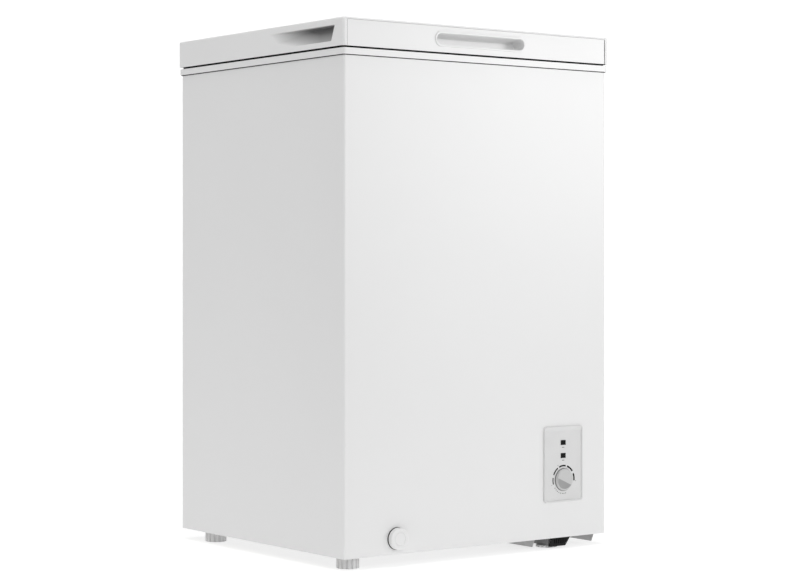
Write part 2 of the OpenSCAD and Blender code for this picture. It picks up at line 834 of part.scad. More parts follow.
module hinge_lower(x) {
    half = hinge_w / 2;
    color(zinc) difference() {
        union() {
            box([x - half, rear_face, leaf_low], [x + half, rear_face + leaf_t, jog_z + leaf_t]);
            box([x - half, rear_face, jog_z], [x + half, riser_y + leaf_t, jog_z + leaf_t]);
            box([x - half, riser_y, jog_z], [x + half, riser_y + leaf_t, axis_z - 6.5]);
            for (side = [-1, 1]) {
                near = x + side * (knuckle + 0.5);
                far = x + side * half;
                box([min(near, far), riser_y, jog_z], [max(near, far), riser_y + leaf_t, axis_z]);
                rod_x(min(near, far), max(near, far), axis_y, axis_z, barrel_r);
            }
        }
        rod_x(x - half - 1, x + half + 1, axis_y, axis_z, pin_r + run);
        for (s = [-1, 1], z = lower_screw_zs) rod_y(x + s * screw_side, rear_face - 1, rear_face + 3, z, 2.2);
    }
}

module hinge_upper(x) {
    half = hinge_w / 2;
    color(zinc) difference() {
        union() {
            box([x - half, lid_rear, lid_z + 2], [x + half, lid_rear + leaf_t, lid_z + 34]);
            box([x - knuckle, lid_rear, axis_z], [x + knuckle, axis_y, axis_z + barrel_r]);
            rod_x(x - knuckle, x + knuckle, axis_y, axis_z, barrel_r);
        }
        rod_x(x - half - 1, x + half + 1, axis_y, axis_z, pin_r + run);
        for (s = [-1, 1], z = upper_screw_zs) rod_y(x + s * screw_side, lid_rear - 1, lid_rear + 3, z, 2.2);
    }
}

module hinge_lower_left() { hinge_lower(-hinge_x); }

module hinge_lower_right() { hinge_lower(hinge_x); }

module hinge_upper_left() { hinge_upper(-hinge_x); }

module hinge_upper_right() { hinge_upper(hinge_x); }

module hinge_pins() {
    color(alloy) for (side = [-1, 1]) {
        x = side * hinge_x;
        rod_x(x - hinge_w / 2 - 0.5, x + hinge_w / 2 + 0.5, axis_y, axis_z, pin_r);
        rod_x(x - hinge_w / 2 - 2, x - hinge_w / 2 - 0.3, axis_y, axis_z, pin_r + 1.4);
        rod_x(x + hinge_w / 2 + 0.3, x + hinge_w / 2 + 2, axis_y, axis_z, pin_r + 1.4);
    }
}

module screw_y(x, face, z, length) {
    rod_y(x, face - length, face + 0.2, z, 2);
    rod_y(x, face, face + 2.2, z, 4);
}

module lower_hinge_screws() {
    color(alloy) for (x = lower_screw_xs(), z = lower_screw_zs) screw_y(x, rear_face + leaf_t, z, 18);
}

module upper_hinge_screws() {
    color(alloy) for (x = lower_screw_xs(), z = upper_screw_zs) screw_y(x, lid_rear + leaf_t, z, 14);
}

// ---- Lid ----

// A plate with rounded upright corners and a rounded top edge
module pillow(w, d, r, edge, low, high) {
    h = high - low;
    translate([0, mid_y, low]) {
        for (sx = [-1, 1], sy = [-1, 1]) translate([sx * (w / 2 - r), sy * (d / 2 - r), 0]) rotate_extrude() {
            square([r, h - edge]);
            square([r - edge, h]);
            translate([r - edge, h - edge]) intersection() {
                circle(edge);
                square(edge);
            }
        }
        rotate([90, 0, 90]) translate([0, 0, -w / 2 + r]) linear_extrude(w - 2 * r) bread(d, h, edge);
        rotate([90, 0, 0]) translate([0, 0, -d / 2 + r]) linear_extrude(d - 2 * r) bread(w, h, edge);
    }
}

// A rectangle that stands on the axis, with its two top corners rounded
module bread(w, h, edge) {
    translate([-w / 2, 0]) square([w, h - edge]);
    translate([-w / 2 + edge, 0]) square([w - 2 * edge, h]);
    for (side = [-1, 1]) translate([side * (w / 2 - edge), h - edge]) circle(edge);
}

// The hand recess in the lid's side: a flat ceiling, a sloped floor and a ramp out to the rear.
// Each corner is its depth, its distance behind the lid's front and its height.
module hand_recess(side) {
    soft = 1;
    high = recess_high - soft;
    low = recess_low + soft;
    shallow = 6;
    outside = -6;
    corners = [[recess_depth, recess_front + 5, high], [shallow, recess_front + 12, low],
               [recess_depth, recess_front + 57, high], [shallow, recess_front + 47, low],
               [outside, recess_rear + 48, high], [outside, recess_rear + 22, low],
               [outside, recess_front, high], [outside, recess_front + 9, low]];
    hull() for (c = corners)
        translate([side * (lid_w / 2 - c[0] + soft), lid_front + c[1], c[2]]) sphere(r = soft, $fn = 16);
}

module lid_shell() {
    inner = lid_wall + 1;
    color(white_paint) difference() {
        pillow(lid_w, lid_d, lid_corner_r, lid_edge_r, lid_z, lid_top);
        difference() {
            slab(lid_w - 2 * lid_wall, lid_d - 2 * lid_wall, 2, lid_z - 1, lid_top - lid_wall);
            for (side = [-1, 1]) recess_housing(side, 0);
        }
        for (side = [-1, 1]) hand_recess(side);
        box([-lid_w / 2 + fascia_end, lid_front - 1, lid_z - 1],
            [lid_w / 2 - fascia_end, lid_front + fascia_t, fascia_top]);
        on_front(grip_x, lid_front + inner, grip_z) linear_extrude(inner + 1)
            stadium(grip_len - 4, grip_h - 2.5);
        for (x = lower_screw_xs(), z = upper_screw_zs) rod_y(x, lid_rear - 6, lid_rear + 1, z, 2.1);
    }
}

// The block of wall that carries a hand recess inside the lid
module recess_housing(side, grow) {
    near = side * (lid_w / 2 - lid_wall + 1);
    far = side * (lid_w / 2 - recess_depth - 3 - grow);
    box([min(near, far), lid_front + recess_front - 4 - grow, recess_low - 3 - grow],
        [max(near, far), lid_front + recess_rear + 4 + grow, recess_high + 3 + grow]);
}

module lid_fascia() {
    color(white_paint) difference() {
        box([-lid_w / 2 + fascia_end + groove, lid_front + fascia_in, lid_z],
            [lid_w / 2 - fascia_end - groove, lid_front + fascia_t - 0.1, fascia_top - 0.4]);
        on_front(grip_x, lid_front + 4, grip_z) linear_extrude(8) stadium(grip_len - 5.6, grip_h - 4.1);
    }
}

module front_grip() {
    outer_len = grip_len - 6;
    outer_h = grip_h - 4.5;
    color(white_plastic) difference() {
        union() {
            on_front(grip_x, lid_front + fascia_in - gap / 2, grip_z)
                linear_extrude(grip_lip) stadium(grip_len, grip_h);
            on_front(grip_x, lid_front + grip_depth + grip_wall, grip_z)
                linear_extrude(grip_depth + grip_wall + gap) stadium(outer_len, outer_h);
        }
        on_front(grip_x, lid_front + grip_depth, grip_z) linear_extrude(grip_depth + 4)
            stadium(outer_len - 2 * grip_wall, outer_h - 2 * grip_wall);
    }
}

module lid_foam() {
    inset = lid_wall + gap;
    color(foam_tan) difference() {
        union() {
            slab(lid_w - 2 * inset, lid_d - 2 * inset, 2, flange_z + flange_t, lid_top - inset);
            slab(plug_w - 4 - 2 * gap, plug_d - 4 - 2 * gap, cav_r - 3,
                 plug_z + flange_t + gap, flange_z + flange_t);
        }
        for (side = [-1, 1]) recess_housing(side, gap);
        on_front(grip_x, lid_front + grip_depth + grip_wall + gap, grip_z)
            linear_extrude(grip_depth + 4) stadium(grip_len - 5, grip_h - 3.5);
        for (x = lower_screw_xs(), z = upper_screw_zs) rod_y(x, lid_rear - 14, lid_rear, z, 2.2);
    }
}

module lid_inner_panel() {
    inset = lid_wall + 0.3;
    color(white_plastic) difference() {
        union() {
            slab(lid_w - 2 * inset, lid_d - 2 * inset, 2, flange_z, flange_z + flange_t - gap);
            slab(plug_w, plug_d, cav_r - 1, plug_z, flange_z + 1);
        }
        slab(plug_w - 4, plug_d - 4, cav_r - 3, plug_z + flange_t, flange_z + flange_t + 1);
    }
}

module lid_gasket() {
    outer_w = lid_w - 16;
    outer_d = lid_d - 16;
    lip = 6;
    color(rubber) {
        frame(outer_w, outer_d, 8, outer_w - 32, outer_d - 32, 4, lid_z - gap, flange_z);
        frame(outer_w + lip, outer_d + lip, 3, outer_w - 32, outer_d - 32, 4, collar_top + gap, lid_z - gap);
    }
}

// ---- Basket ----

basket_w = 190;
basket_x = cav_w / 2 - 21 - basket_w / 2;
basket_box_d = cav_d - 15;
basket_low = 625;
basket_t = 3;

module basket_plate(w, d, r, low, high) {
    translate([basket_x, mid_y, low]) linear_extrude(high - low) rounded(w, d, r);
}

module basket() {
    rim_low = ledge_z + gap;
    color(white_plastic) difference() {
        union() {
            basket_plate(basket_w - 6, basket_box_d, 20, basket_low, rim_low + 1);
            basket_plate(basket_w, cav_d + 2 * ledge - 5, 4, rim_low, rim_low + 4);
        }
        basket_plate(basket_w - 6 - 2 * basket_t, basket_box_d - 2 * basket_t, 17,
                     basket_low + basket_t, rim_low + 9);
    }
}

outer_wrap();
rear_panel();
base_panel();
bay_panel();
inner_liner();
cabinet_foam();
top_collar();
evaporator_coil();
condenser_coil();
filter_drier();
capillary_tube();
suction_line();
discharge_line();
compressor_shell();
compressor_bracket();
compressor_grommets();
compressor_bolts();
terminal_cover();
compressor_tray();
air_inlet_duct();
air_inlet_grille();
bay_rear_cover();
rear_cover_screws();
side_vent_grille();
control_bezel();
thermostat_body();
sensor_tube();
power_lamp();
run_lamp();
drain_fitting();
drain_tube();
cord_gland();
wiring_loom();
foot_sockets();
hinge_lower_left();
hinge_lower_right();
hinge_pins();
lower_hinge_screws();
lid_shell();
lid_fascia();
front_grip();
lid_foam();
lid_inner_panel();
lid_gasket();
hinge_upper_left();
hinge_upper_right();
upper_hinge_screws();
thermostat_knob();
thermostat_shaft();
drain_cap();
drain_plug();
basket();
foot_stud_front_left();
foot_stud_front_right();
foot_stud_rear_left();
foot_stud_rear_right();
foot_pad_front_left();
foot_pad_front_right();
foot_pad_rear_left();
foot_pad_rear_right();
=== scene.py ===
import json
import math

import bmesh
import bpy
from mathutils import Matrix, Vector


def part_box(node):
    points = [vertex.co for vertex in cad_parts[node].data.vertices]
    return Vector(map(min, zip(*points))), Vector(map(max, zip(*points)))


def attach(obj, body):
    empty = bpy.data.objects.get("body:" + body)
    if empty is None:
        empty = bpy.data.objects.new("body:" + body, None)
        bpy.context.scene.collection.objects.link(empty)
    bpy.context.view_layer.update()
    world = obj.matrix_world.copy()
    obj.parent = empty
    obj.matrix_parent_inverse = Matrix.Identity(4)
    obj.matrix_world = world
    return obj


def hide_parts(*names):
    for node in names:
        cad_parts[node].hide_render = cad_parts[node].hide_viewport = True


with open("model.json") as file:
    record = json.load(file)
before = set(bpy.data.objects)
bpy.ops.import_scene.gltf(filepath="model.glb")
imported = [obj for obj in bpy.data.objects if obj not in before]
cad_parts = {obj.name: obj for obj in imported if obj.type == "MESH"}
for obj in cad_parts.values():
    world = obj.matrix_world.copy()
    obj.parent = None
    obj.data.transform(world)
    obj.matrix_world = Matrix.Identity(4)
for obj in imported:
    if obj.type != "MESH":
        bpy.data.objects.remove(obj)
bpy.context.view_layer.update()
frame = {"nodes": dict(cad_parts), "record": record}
NODES = frame["nodes"]
MM = 0.001


# ---------------------------------------------------------------- camera and light

# The camera looks level. Its X and Y are measured from the cabinet's front left edge, in metres
CAMERA_HEIGHT = 0.4803
CAMERA_HEADING = math.radians(36.59)
CAMERA_BACK = (-1.866, -2.639)
LENS = 96.69
SENSOR = 36.0
SHIFT_Y = -0.0452
HEADING = (math.sin(CAMERA_HEADING), math.cos(CAMERA_HEADING))

# Strength of the studio all round, of the white backdrop, and how square a view has to be to the backdrop
SKY = 0.30
BACKDROP = 1.08
BACKDROP_EDGE = (0.78, 0.94)
SUN_STRENGTH = 1.3
SUN_ANGLE = math.radians(30)

# Each area light has its name, place, target, size in metres, watts and spread in degrees
LIGHTS = (
    ("key", (2.3, -2.5, 1.15), (0.2, -0.25, 1.0), 0.9, 3.2, 60.0),
    ("front", (-0.7, -3.1, 2.1), (0.0, -0.25, 0.85), 1.4, 3.6, 60.0),
    ("side", (-2.3, 0.2, 2.2), (-0.27, 0.0, 0.95), 1.4, 2.6, 70.0),
)


def link(tree, a, b):
    tree.links.new(a, b)


def make_camera():
    """The camera stands level in front of the left front corner of the cabinet."""
    low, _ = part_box("outer_wrap")
    data = bpy.data.cameras.new("camera")
    data.lens = LENS
    data.sensor_width = SENSOR
    data.shift_y = SHIFT_Y
    data.clip_end = 100.0
    camera = bpy.data.objects.new("camera", data)
    bpy.context.scene.collection.objects.link(camera)
    camera.location = (low.x + CAMERA_BACK[0], low.y + CAMERA_BACK[1], CAMERA_HEIGHT)
    camera.rotation_euler = (math.pi / 2, 0.0, -CAMERA_HEADING)
    bpy.context.scene.camera = camera


def area_light(name, place, target, size, watts, spread):
    """A large soft square light at place that faces target, with its spread in degrees."""
    data = bpy.data.lights.new(name, "AREA")
    data.shape = "SQUARE"
    data.size = size
    data.energy = watts
    data.spread = math.radians(spread)
    light = bpy.data.objects.new(name, data)
    bpy.context.scene.collection.objects.link(light)
    light.location = place
    way = Vector(target) - Vector(place)
    light.rotation_euler = way.to_track_quat("-Z", "Y").to_euler()


def sun_light():
    """A wide soft sun straight above the object."""
    data = bpy.data.lights.new("overhead", "SUN")
    data.energy = SUN_STRENGTH
    data.angle = SUN_ANGLE
    light = bpy.data.objects.new("overhead", data)
    light.location = (0.0, 0.0, 4.0)
    bpy.context.scene.collection.objects.link(light)


def make_world():
    """A soft grey studio with a white backdrop on the far side of the object."""
    world = bpy.data.worlds.new("studio")
    world.use_nodes = True
    tree = world.node_tree
    back = tree.nodes["Background"]
    back.inputs["Color"].default_value = (1.0, 1.0, 1.0, 1.0)
    coords = tree.nodes.new("ShaderNodeTexCoord")
    facing = tree.nodes.new("ShaderNodeVectorMath")
    facing.operation = "DOT_PRODUCT"
    facing.inputs[1].default_value = (*HEADING, 0.0)
    link(tree, coords.outputs["Generated"], facing.inputs[0])
    level = tree.nodes.new("ShaderNodeMapRange")
    level.interpolation_type = "SMOOTHSTEP"
    level.inputs["From Min"].default_value = BACKDROP_EDGE[0]
    level.inputs["From Max"].default_value = BACKDROP_EDGE[1]
    level.inputs["To Min"].default_value = SKY
    level.inputs["To Max"].default_value = BACKDROP
    link(tree, facing.outputs["Value"], level.inputs["Value"])
    link(tree, level.outputs["Result"], back.inputs["Strength"])
    bpy.context.scene.world = world


make_camera()
make_world()
for row in LIGHTS:
    area_light(*row)
sun_light()
bpy.context.scene.view_settings.view_transform = "Standard"
bpy.context.scene.view_settings.look = "None"


# ---------------------------------------------------------------- materials

def new_material(name):
    """A fresh material, its node tree and its shader."""
    made = bpy.data.materials.new(name)
    made.use_nodes = True
    return made, made.node_tree, made.node_tree.nodes["Principled BSDF"]


def noise(tree, scale, detail=3.0):
    """A noise texture in the object's own coordinates."""
    coords = tree.nodes.new("ShaderNodeTexCoord")
    made = tree.nodes.new("ShaderNodeTexNoise")
    made.inputs["Scale"].default_value = scale
    made.inputs["Detail"].default_value = detail
    made.inputs["Roughness"].default_value = 0.5
    link(tree, coords.outputs["Object"], made.inputs["Vector"])
    return made


def ramp(tree, source, low, high):
    """Turns a factor into a colour between low and high."""
    made = tree.nodes.new("ShaderNodeValToRGB")
    made.color_ramp.elements[0].color = (*low, 1.0)
    made.color_ramp.elements[1].color = (*high, 1.0)
    made.color_ramp.elements[0].position = 0.3
    made.color_ramp.elements[1].position = 0.7
    link(tree, source, made.inputs["Fac"])
    return made


def add_bump(tree, shader, source, strength, distance):
    """Drives the shader's normal with a bump from the source."""
    bump = tree.nodes.new("ShaderNodeBump")
    bump.inputs["Strength"].default_value = strength
    bump.inputs["Distance"].default_value = distance
    link(tree, source, bump.inputs["Height"])
    link(tree, bump.outputs["Normal"], shader.inputs["Normal"])


def grey(value):
    return (value, value, value)


def surface(name, low, high, roughness, metallic=0.0, mottle=40.0, grain=900.0, bump=0.15, depth=0.0002,
            spread=0.08, coat=0.0):
    """A material whose colour and roughness drift a little, with a fine grain in its bump."""
    made, tree, shader = new_material(name)
    shader.inputs["Metallic"].default_value = metallic
    shader.inputs["Coat Weight"].default_value = coat
    drift = noise(tree, mottle)
    colour = ramp(tree, drift.outputs["Fac"], low, high)
    link(tree, colour.outputs["Color"], shader.inputs["Base Color"])
    rough = ramp(tree, drift.outputs["Fac"], grey(max(0.02, roughness - spread)), grey(roughness + spread))
    link(tree, rough.outputs["Color"], shader.inputs["Roughness"])
    fine = noise(tree, grain, 2.0)
    add_bump(tree, shader, fine.outputs["Fac"], bump, depth)
    return made


def brushed(name, low, high, roughness):
    """Bare sheet steel with a spangle and faint rolling lines."""
    made, tree, shader = new_material(name)
    shader.inputs["Metallic"].default_value = 0.6
    coords = tree.nodes.new("ShaderNodeTexCoord")
    cells = tree.nodes.new("ShaderNodeTexVoronoi")
    cells.inputs["Scale"].default_value = 160.0
    link(tree, coords.outputs["Object"], cells.inputs["Vector"])
    colour = ramp(tree, cells.outputs["Color"], low, high)
    link(tree, colour.outputs["Color"], shader.inputs["Base Color"])
    rough = ramp(tree, cells.outputs["Color"], grey(roughness - 0.03), grey(roughness + 0.04))
    link(tree, rough.outputs["Color"], shader.inputs["Roughness"])
    lines = noise(tree, 400.0, 2.0)
    add_bump(tree, shader, lines.outputs["Fac"], 0.08, 0.0002)
    return made


PAINT = surface("white_paint", grey(0.826), grey(0.834), 0.38, mottle=5.0, grain=420.0, bump=0.02,
                spread=0.015)
WHITE = surface("white_plastic", grey(0.82), grey(0.83), 0.36, mottle=8.0, grain=1500.0, bump=0.03,
                spread=0.02)
LINER = surface("liner_plastic", (0.815, 0.83, 0.838), (0.822, 0.837, 0.845), 0.3, grain=700.0, bump=0.04,
                spread=0.02)
PANEL_WHITE = surface("panel_plastic", grey(0.70), grey(0.72), 0.38, grain=1800.0, bump=0.08)
KNOB = surface("knob_plastic", grey(0.56), grey(0.58), 0.4, grain=1800.0, bump=0.06)
FOOT = surface("foot_plastic", grey(0.70), grey(0.74), 0.5, grain=900.0, bump=0.12)
GREY = surface("grey_plastic", grey(0.18), grey(0.22), 0.55, grain=900.0, bump=0.15)
BLACK = surface("black_plastic", grey(0.012), grey(0.02), 0.5, grain=900.0, bump=0.2)
ENAMEL = surface("black_enamel", grey(0.01), grey(0.016), 0.25, grain=300.0, bump=0.12, coat=0.4)
RUBBER = surface("black_rubber", grey(0.014), grey(0.022), 0.75, grain=700.0, bump=0.2)
SEAL = surface("gasket_rubber", grey(0.012), grey(0.018), 0.7, grain=700.0, bump=0.15)
LENS_BLACK = surface("lamp_lens", grey(0.004), grey(0.006), 0.15, grain=200.0, bump=0.02)
FOAM = surface("foam", (0.72, 0.62, 0.36), (0.80, 0.70, 0.44), 0.9, mottle=60.0, grain=260.0, bump=0.7,
               depth=0.001)
COPPER = surface("copper_tube", (0.55, 0.26, 0.15), (0.68, 0.34, 0.2), 0.32, metallic=1.0, mottle=70.0)
ALLOY = surface("aluminium_tube", grey(0.62), grey(0.7), 0.35, metallic=1.0, mottle=70.0)
WIRE = surface("basket_wire", grey(0.80), grey(0.84), 0.22, grain=500.0, bump=0.05, coat=0.5)
# A darker grey for the knob's lower roof: painted shade on the side below the ridge
KNOB_SHADE_GREY = surface("knob_painted_shade", grey(0.31), grey(0.35), 0.55, grain=1400.0, bump=0.25)
ZINC = brushed("zinc_steel", grey(0.41), grey(0.46), 0.42)
for dull in (LENS_BLACK, BLACK, SEAL, RUBBER):
    dull.node_tree.nodes["Principled BSDF"].inputs["Specular IOR Level"].default_value = 0.12

BY_SLOT = {
    "white_paint": PAINT, "white_plastic": WHITE, "liner_plastic": LINER, "zinc_steel": ZINC, "foam": FOAM,
    "aluminium_tube": ALLOY, "copper_tube": COPPER, "black_enamel": ENAMEL, "black_rubber": RUBBER,
    "black_plastic": BLACK, "grey_plastic": GREY, "panel_plastic": PANEL_WHITE, "knob_plastic": KNOB,
    "lamp_lens": LENS_BLACK, "gasket_rubber": SEAL, "foot_plastic": FOOT, "basket_wire": WIRE,
}


# Painted shade in the two hand recesses in the lid's side walls: where it lies, in metres from the lid's
# lowest or highest corner, the depths over which it darkens and its darkest tone
RECESS_Y = (0.018, 0.216)
RECESS_Z = (0.0055, 0.0085)
RECESS_DEPTH = (0.0003, 0.012)
RECESS_SHADE_TONE = (0.16, 0.16, 0.16, 1.0)


def recess_shade_paint():
    """The lid's paint, with painted shade that darkens with depth inside the two hand recesses."""
    made = PAINT.copy()
    made.name = "lid_recess_shade_paint"
    tree = made.node_tree
    base = tree.nodes["Principled BSDF"].inputs["Base Color"]
    plain = base.links[0].from_socket
    low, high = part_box("lid_shell")
    coords = tree.nodes.new("ShaderNodeTexCoord")
    split = tree.nodes.new("ShaderNodeSeparateXYZ")
    link(tree, coords.outputs["Object"], split.inputs["Vector"])

    def math_node(operation, a, b):
        node = tree.nodes.new("ShaderNodeMath")
        node.operation = operation
        node.use_clamp = True
        for socket, value in zip(node.inputs, (a, b)):
            if isinstance(value, float):
                socket.default_value = value
            else:
                link(tree, value, socket)
        return node.outputs["Value"]

    aside = tree.nodes.new("ShaderNodeMath")
    aside.operation = "ABSOLUTE"
    link(tree, split.outputs["X"], aside.inputs[0])
    depth = tree.nodes.new("ShaderNodeMapRange")
    depth.inputs["From Min"].default_value = high.x - RECESS_DEPTH[0]
    depth.inputs["From Max"].default_value = high.x - RECESS_DEPTH[1]
    link(tree, aside.outputs["Value"], depth.inputs["Value"])
    shade = depth.outputs["Result"]
    limits = (
        ("Y", low.y + RECESS_Y[0], low.y + RECESS_Y[1]),
        ("Z", low.z + RECESS_Z[0], high.z - RECESS_Z[1]),
    )
    for axis, least, most in limits:
        shade = math_node("MULTIPLY", shade, math_node("GREATER_THAN", split.outputs[axis], least))
        shade = math_node("MULTIPLY", shade, math_node("LESS_THAN", split.outputs[axis], most))
    # The painted shade: the paint turns towards a dark grey where a recess is deep
    blend = tree.nodes.new("ShaderNodeMix")
    blend.data_type = "RGBA"
    colours = {socket.identifier: socket for socket in blend.inputs}
    colours["B_Color"].default_value = RECESS_SHADE_TONE
    link(tree, shade, colours["Factor_Float"])
    link(tree, plain, colours["A_Color"])
    link(tree, {socket.identifier: socket for socket in blend.outputs}["Result_Color"], base)
    return made


def paint_cad_nodes():
    """Every CAD node takes the material of its slot in the record."""
    for row in frame["record"]["subparts"]:
        mesh = NODES[row["node"]].data
        mesh.materials.clear()
        mesh.materials.append(BY_SLOT[row["material_slot"]])
    # The lid's shell takes a copy of the paint instead, with painted shade in its hand recesses
    lid = NODES["lid_shell"].data
    lid.materials.clear()
    lid.materials.append(recess_shade_paint())


paint_cad_nodes()


# ---------------------------------------------------------------- mesh building

def cad(node):
    """Lowest and highest corner of a CAD node, in millimetres."""
    low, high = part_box(node)
    return low / MM, high / MM


def add_ring(bm, points):
    """New vertices at points in millimetres."""
    return [bm.verts.new(Vector(p) * MM) for p in points]


def skin(bm, a, b):
    """Joins two rings of equal length with a band of faces."""
    for i in range(len(a)):
        j = (i + 1) % len(a)
        bm.faces.new((a[i], a[j], b[j], b[i]))


def loft(bm, rings, first=True, last=True):
    """Joins the rings in order and closes the two ends where asked."""
    made = [add_ring(bm, ring) for ring in rings]
    for a, b in zip(made, made[1:]):
        skin(bm, a, b)
    if first:
        bm.faces.new(list(reversed(made[0])))
    if last:
        bm.faces.new(made[-1])
    return made


def fill_with_holes(bm, rings):
    """Fills the flat area between an outer ring and the rings of its holes."""
    edges = []
    for ring in rings:
        for i, vert in enumerate(ring):
            other = ring[(i + 1) % len(ring)]
            edges.append(bm.edges.get((vert, other)) or bm.edges.new((vert, other)))
    bmesh.ops.triangle_fill(bm, use_beauty=True, edges=edges)


def soften(piece, width, segments=3, angle=35.0):
    """Rounds the sharp edges of a piece."""
    made = piece.modifiers.new("rounded_edges", "BEVEL")
    made.width = width * MM
    made.segments = segments
    made.limit_method = "ANGLE"
    made.angle_limit = math.radians(angle)
    made.harden_normals = True


def add_piece(name, bm, body, slot, replaced=(), sharp=35.0, material=None):
    """Turns a finished mesh into a piece of the model."""
    bmesh.ops.recalc_face_normals(bm, faces=bm.faces)
    mesh = bpy.data.meshes.new(name)
    bm.to_mesh(mesh)
    bm.free()
    mesh.shade_smooth()
    mesh.set_sharp_from_angle(angle=math.radians(sharp))
    mesh.materials.append(material or BY_SLOT[slot])
    made = bpy.data.objects.new(name, mesh)
    bpy.context.scene.collection.objects.link(made)
    even = made.modifiers.new("even_shading", "WEIGHTED_NORMAL")
    even.keep_sharp = True
    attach(made, body)
    if replaced:
        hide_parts(*replaced)
    return made


def corner_ring(x0, x1, y0, y1, r, steps=6):
    """Outline of a rectangle with rounded corners, counter-clockwise."""
    corners = ((x1 - r, y0 + r, -90), (x1 - r, y1 - r, 0), (x0 + r, y1 - r, 90), (x0 + r, y0 + r, 180))
    points = []
    for cx, cy, start in corners:
        for i in range(steps + 1):
            a = math.radians(start + 90 * i / steps)
            points.append((cx + r * math.cos(a), cy + r * math.sin(a)))
    return points


def stadium_ring(cx, cz, length, height, steps=20):
    """Outline of a bar with half-round ends, counter-clockwise."""
    r = height / 2
    points = []
    for side, start in ((1, -90), (-1, 90)):
        for i in range(steps + 1):
            a = math.radians(start + 180 * i / steps)
            points.append((cx + side * (length / 2 - r) + r * math.cos(a), cz + r * math.sin(a)))
    return points


def circle_ring(cx, cy, r, steps=48, turn=0.0):
    """Outline of a circle, counter-clockwise."""
    return [(cx + r * math.cos(turn + math.tau * i / steps), cy + r * math.sin(turn + math.tau * i / steps))
            for i in range(steps)]


def at_y(points, y):
    """Stands a flat outline up at y."""
    return [(p[0], y, p[1]) for p in points]


def at_z(points, z):
    """Lays a flat outline down at z."""
    return [(p[0], p[1], z) for p in points]


def lathe_y(bm, cx, cz, profile, steps=64):
    """A turned shape on an axis along Y. The profile is a list of radius and y."""
    return loft(bm, [at_y(circle_ring(cx, cz, r, steps), y) for r, y in profile])


def lathe_z(bm, cx, cy, profile, steps=72):
    """A turned shape on an upright axis. The profile is a list of radius and height."""
    return loft(bm, [at_z(circle_ring(cx, cy, r, steps), z) for r, z in profile])


def rounded_path(points, r, closed=False, steps=4):
    """A path whose corners are replaced by short arcs."""
    found = []
    count = len(points)
    for i, point in enumerate(points):
        here = Vector(point)
        if not closed and i in (0, count - 1):
            found.append(here)
            continue
        before = (Vector(points[i - 1]) - here).normalized()
        after = (Vector(points[(i + 1) % count]) - here).normalized()
        for k in range(steps + 1):
            t = k / steps
            found.append(here + before * r * (1 - t) ** 2 + after * r * t ** 2)
    return found


def wire(bm, points, r, closed=False, sides=10):
    """A round wire through the points."""
    count = len(points)
    rings = []
    up = None
    for i, here in enumerate(points):
        before = points[i - 1] if closed or i > 0 else here
        after = points[(i + 1) % count] if closed or i < count - 1 else here
        way = (after - before).normalized()
        if up is None:
            up = way.orthogonal().normalized()
        up = (up - way * up.dot(way)).normalized()
        across = way.cross(up)
        turns = [math.tau * k / sides for k in range(sides)]
        rings.append([here + r * (math.cos(a) * up + math.sin(a) * across) for a in turns])
    made = loft(bm, rings, first=not closed, last=not closed)
    if closed:
        join_best(bm, made[-1], made[0])


def join_best(bm, a, b):
    """Closes a wire loop: the last ring meets the first one at the nearest turn."""
    count = len(a)

    def distance(shift):
        return sum((a[i].co - b[(i + shift) % count].co).length for i in range(count))

    shift = min(range(count), key=distance)
    skin(bm, a, [b[(i + shift) % count] for i in range(count)])


# ---------------------------------------------------------------- places taken from the CAD

WRAP_LOW, WRAP_HIGH = cad("outer_wrap")
FRONT = WRAP_LOW.y


def middle(low, high, axis):
    """Halfway between two corners along one axis."""
    return (getattr(low, axis) + getattr(high, axis)) / 2


# ---------------------------------------------------------------- control panel

KNOB_ANGLE = 24.0
DIAL_R = 23.0
TICK_R = 26.8
DASH_HALVES = (14, 18, 18, 18, 15)
DASH_FIRST = 184
DASH_STEP = 44
DASH_WIDTH = 2.1
DASH_GROWTH = 0.25
DOTS = 8
DOT_FIRST = 216
DOT_STEP = 9.4
SHAFT_HOLE_R = 4


def make_control_plate():
    """A raised plate with a sunk field, whose upper edge slopes in over a wider band."""
    low, high = cad("control_bezel")
    knob = cad("thermostat_knob")
    knob_x = middle(*knob, "x")
    knob_z = middle(*knob, "z")
    face = low.y
    field = face + 1.8

    def outline(side, bottom, top, r, y):
        return at_y(corner_ring(low.x + side, high.x - side, low.z + bottom, high.z - top, r), y)

    bm = bmesh.new()
    made = loft(bm, [
        outline(6.5, 6.5, 6.5, 2, FRONT), outline(6.5, 6.5, 6.5, 2, high.y),
        outline(4.5, 4.5, 4.5, 3, high.y), outline(4.5, 4.5, 4.5, 3, FRONT),
        outline(0, 0, 0, 5, FRONT), outline(0, 0, 0, 5, face + 0.9),
        outline(0.25, 0.25, 0.25, 4.8, face + 0.3), outline(0.9, 0.9, 0.9, 4.4, face),
        outline(1.7, 1.7, 1.0, 3.8, face), outline(2.1, 2.2, 1.4, 3.4, face + 0.25),
        outline(2.5, 3.4, 7.4, 3.0, field - 0.15), outline(2.8, 4.0, 8.0, 2.8, field),
    ], first=False, last=False)
    hole_back = add_ring(bm, at_y(circle_ring(knob_x, knob_z, SHAFT_HOLE_R), FRONT))
    hole_front = add_ring(bm, at_y(circle_ring(knob_x, knob_z, SHAFT_HOLE_R), field))
    skin(bm, hole_back, hole_front)
    fill_with_holes(bm, [made[0], hole_back])
    fill_with_holes(bm, [made[-1], hole_front])
    add_piece("control_plate", bm, "cabinet", "panel_plastic", ["control_bezel"], sharp=50.0)
    return knob_x, knob_z, field


def flat_mark(bm, points, y):
    """A printed mark: a very thin plate on the panel's field."""
    loft(bm, [at_y(points, y + 0.02), at_y(points, y - 0.06)])


def arc_bar(cx, cz, r, start, end, width, steps=5):
    """A short curved bar from one angle to another, in degrees."""
    turns = [math.radians(start + (end - start) * i / steps) for i in range(steps + 1)]

    def side(reach):
        return [(cx + reach * math.cos(a), cz + reach * math.sin(a)) for a in turns]

    return side(r + width / 2) + side(r - width / 2)[::-1]


